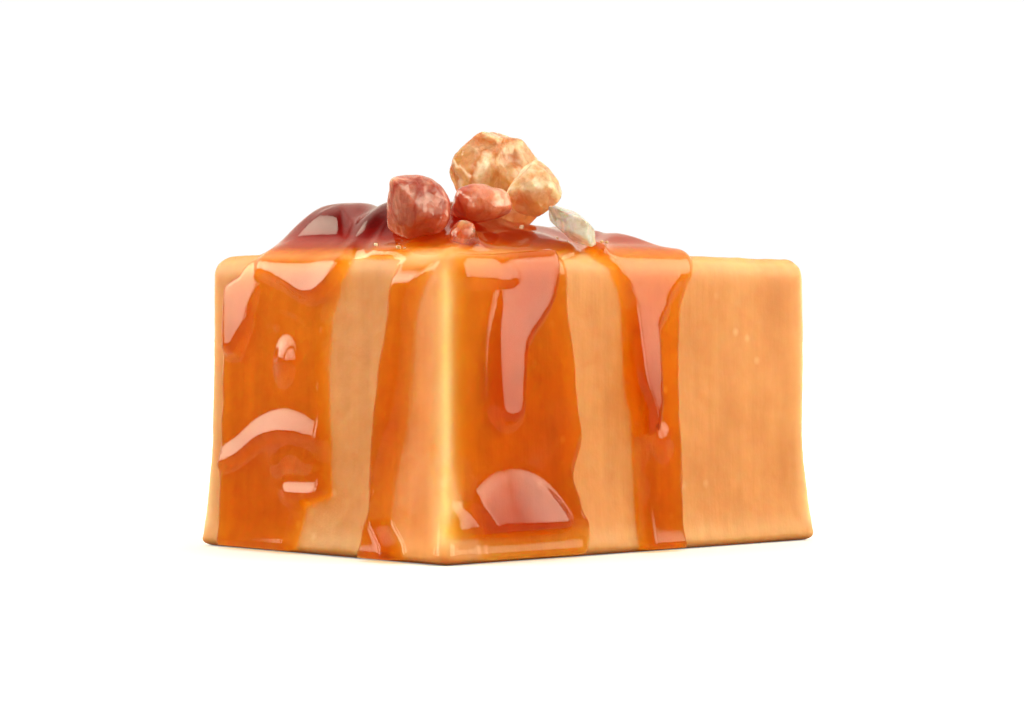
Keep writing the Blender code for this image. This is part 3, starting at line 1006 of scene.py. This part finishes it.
def direction(azimuth, elevation):
    """Unit vector from the candy towards an azimuth and an elevation, azimuth 0 being straight in front."""
    a, e = math.radians(azimuth), math.radians(elevation)
    return Vector((math.sin(a) * math.cos(e), -math.cos(a) * math.cos(e), math.sin(e)))


def build_camera():
    data = bpy.data.cameras.new("camera")
    data.lens = CAMERA_LENS
    data.sensor_width = 36.0
    data.clip_start = 0.01
    camera = link(bpy.data.objects.new("camera", data))
    aim = Vector((0.0, 0.0, CAMERA_AIM))
    place = direction(CAMERA_AZIMUTH, 0.0) * CAMERA_DISTANCE + Vector((0.0, 0.0, CAMERA_HEIGHT))
    camera.location = place * MM
    camera.rotation_euler = (place - aim).to_track_quat("Z", "Y").to_euler()
    bpy.context.scene.camera = camera


# Softboxes: azimuth, elevation, distance, width, height (mm), and how bright against the white room.
SOFTBOXES = (
    ("softbox_front", 11.0, 25.0, 350.0, 215.0, 270.0, 6.1),
    ("softbox_front_high", 50.5, 30.0, 350.0, 290.0, 285.0, 5.3),
    ("softbox_left", -103.0, 25.0, 350.0, 125.0, 255.0, 6.6),
    ("softbox_left_high", -144.0, 24.0, 350.0, 320.0, 195.0, 7.0),
)
SOFTBOX_COLOUR = (1.0, 0.97, 0.74)
ROOM_LIGHT = 0.12
ROOM_COLOUR = (1.0, 0.90, 0.74)
BACKDROP_LIGHT = 1.0  # the white card behind the candy
BACKDROP_AZIMUTH = 137.0
CEILING_LIGHT = 1.7  # how much brighter the room is overhead
FLOOR_BOUNCE = 0.25


def fade_to_edges(data):
    """A softbox is brightest in its middle, so that what mirrors it fades at its edges."""
    data.use_nodes = True
    nodes, links = data.node_tree.nodes, data.node_tree.links
    where = nodes.new("ShaderNodeSeparateXYZ")
    links.new(nodes.new("ShaderNodeNewGeometry").outputs["Parametric"], where.inputs[0])
    parts = []
    for axis in ("X", "Y"):
        rest = add(nodes, "ShaderNodeMath", operation="SUBTRACT")
        rest.inputs[0].default_value = 1.0
        links.new(where.outputs[axis], rest.inputs[1])
        both = add(nodes, "ShaderNodeMath", operation="MULTIPLY")
        links.new(where.outputs[axis], both.inputs[0])
        links.new(rest.outputs["Value"], both.inputs[1])
        parts.append(both.outputs["Value"])
    whole = add(nodes, "ShaderNodeMath", operation="MULTIPLY")
    links.new(parts[0], whole.inputs[0])
    links.new(parts[1], whole.inputs[1])
    level = add(nodes, "ShaderNodeMath", operation="MULTIPLY_ADD")
    links.new(whole.outputs["Value"], level.inputs[0])
    level.inputs[1].default_value = 15.5
    level.inputs[2].default_value = 0.02
    eased = add(nodes, "ShaderNodeMath", operation="POWER")
    links.new(level.outputs["Value"], eased.inputs[0])
    eased.inputs[1].default_value = 0.4
    links.new(eased.outputs["Value"], nodes["Emission"].inputs["Strength"])


def build_lights():
    for name, azimuth, elevation, distance, width, tall, brightness in SOFTBOXES:
        data = bpy.data.lights.new(name, "AREA")
        data.shape = "RECTANGLE"
        data.size, data.size_y = width * MM, tall * MM
        data.energy = brightness * math.pi * width * tall * MM * MM
        data.color = SOFTBOX_COLOUR
        fade_to_edges(data)
        light = link(bpy.data.objects.new(name, data))
        place = direction(azimuth, elevation) * distance
        light.location = (place + Vector((0, 0, HEIGHT / 2))) * MM
        light.rotation_euler = place.to_track_quat("Z", "Y").to_euler()
        light.visible_camera = False


def build_room():
    """A white room for the eye, and a dim one with a white card at the back for what the candy mirrors."""
    world = bpy.data.worlds.new("white_room")
    world.use_nodes = True
    nodes, links = world.node_tree.nodes, world.node_tree.links
    background = nodes["Background"]
    toward = nodes.new("ShaderNodeVectorMath")
    toward.operation = "DOT_PRODUCT"
    links.new(nodes.new("ShaderNodeTexCoord").outputs["Generated"], toward.inputs[0])
    toward.inputs[1].default_value = direction(BACKDROP_AZIMUTH, 22.0)
    card = nodes.new("ShaderNodeMapRange")
    card.interpolation_type = "SMOOTHSTEP"
    card.inputs["From Min"].default_value = math.cos(math.radians(62.0))
    card.inputs["From Max"].default_value = math.cos(math.radians(38.0))
    card.inputs["To Min"].default_value, card.inputs["To Max"].default_value = ROOM_LIGHT, BACKDROP_LIGHT
    links.new(toward.outputs["Value"], card.inputs["Value"])
    upward = nodes.new("ShaderNodeSeparateXYZ")
    links.new(nodes.new("ShaderNodeTexCoord").outputs["Generated"], upward.inputs[0])
    ceiling = nodes.new("ShaderNodeMapRange")
    ceiling.interpolation_type = "SMOOTHSTEP"
    ceiling.inputs["From Min"].default_value = math.sin(math.radians(48.0))
    ceiling.inputs["From Max"].default_value = math.sin(math.radians(80.0))
    ceiling.inputs["To Min"].default_value, ceiling.inputs["To Max"].default_value = 0.0, CEILING_LIGHT
    links.new(upward.outputs["Z"], ceiling.inputs["Value"])
    both = add(nodes, "ShaderNodeMath", operation="MAXIMUM")
    links.new(card.outputs["Result"], both.inputs[0])
    links.new(ceiling.outputs["Result"], both.inputs[1])
    level = nodes.new("ShaderNodeMix")
    level.data_type = "FLOAT"
    links.new(nodes.new("ShaderNodeLightPath").outputs["Is Camera Ray"], level.inputs["Factor"])
    links.new(both.outputs["Value"], level.inputs["A"])
    level.inputs["B"].default_value = 1.02
    links.new(level.outputs["Result"], background.inputs["Strength"])
    colour = nodes.new("ShaderNodeMix")
    colour.data_type = "RGBA"
    seen = nodes.new("ShaderNodeLightPath").outputs["Is Camera Ray"]
    colour_in = [slot for slot in colour.inputs if slot.type == "RGBA"]
    colour_in[0].default_value = (*ROOM_COLOUR, 1.0)
    colour_in[1].default_value = (1.0, 1.0, 1.0, 1.0)
    links.new(seen, colour.inputs["Factor"])
    links.new([slot for slot in colour.outputs if slot.type == "RGBA"][0], background.inputs["Color"])
    bpy.context.scene.world = world
    bpy.context.scene.view_settings.view_transform = "Standard"


def floor_material():
    """Pale board: lit from within away from the candy, so that its far edge melts into the room."""
    material, nodes, links, shader = new_material("pale_floor")
    shader.inputs["Base Color"].default_value = (0.92, 0.915, 0.91, 1.0)
    shader.inputs["Roughness"].default_value = 0.6
    shader.inputs["Specular IOR Level"].default_value = 0.1
    where = nodes.new("ShaderNodeVectorMath")
    where.operation = "LENGTH"
    links.new(coordinates(nodes), where.inputs[0])
    glow = nodes.new("ShaderNodeMapRange")
    glow.interpolation_type = "SMOOTHSTEP"
    for socket, value in (("From Min", 0.02), ("From Max", 0.14), ("To Min", 0.25), ("To Max", 0.95)):
        glow.inputs[socket].default_value = value
    links.new(where.outputs["Value"], glow.inputs["Value"])
    shader.inputs["Emission Color"].default_value = (1.0, 1.0, 1.0, 1.0)
    links.new(glow.outputs["Result"], shader.inputs["Emission Strength"])
    dim = nodes.new("ShaderNodeBsdfDiffuse")
    dim.inputs["Color"].default_value = (FLOOR_BOUNCE, FLOOR_BOUNCE, FLOOR_BOUNCE, 1.0)
    mix = nodes.new("ShaderNodeMixShader")
    links.new(nodes.new("ShaderNodeLightPath").outputs["Is Camera Ray"], mix.inputs["Fac"])
    links.new(dim.outputs["BSDF"], mix.inputs[1])
    links.new(shader.outputs["BSDF"], mix.inputs[2])
    links.new(mix.outputs["Shader"], nodes["Material Output"].inputs["Surface"])
    return material


def build_floor():
    reach = 3.0
    corners = [(-reach, -reach, 0), (reach, -reach, 0), (reach, reach, 0), (-reach, reach, 0)]
    mesh = bpy.data.meshes.new("floor")
    mesh.from_pydata(corners, [], [(0, 1, 2, 3)])
    mesh.materials.append(floor_material())
    link(bpy.data.objects.new("floor", mesh))


build_camera()
build_room()
build_lights()
build_floor()
build_block()
build_sauce()
build_crystals()
build_crumbs()
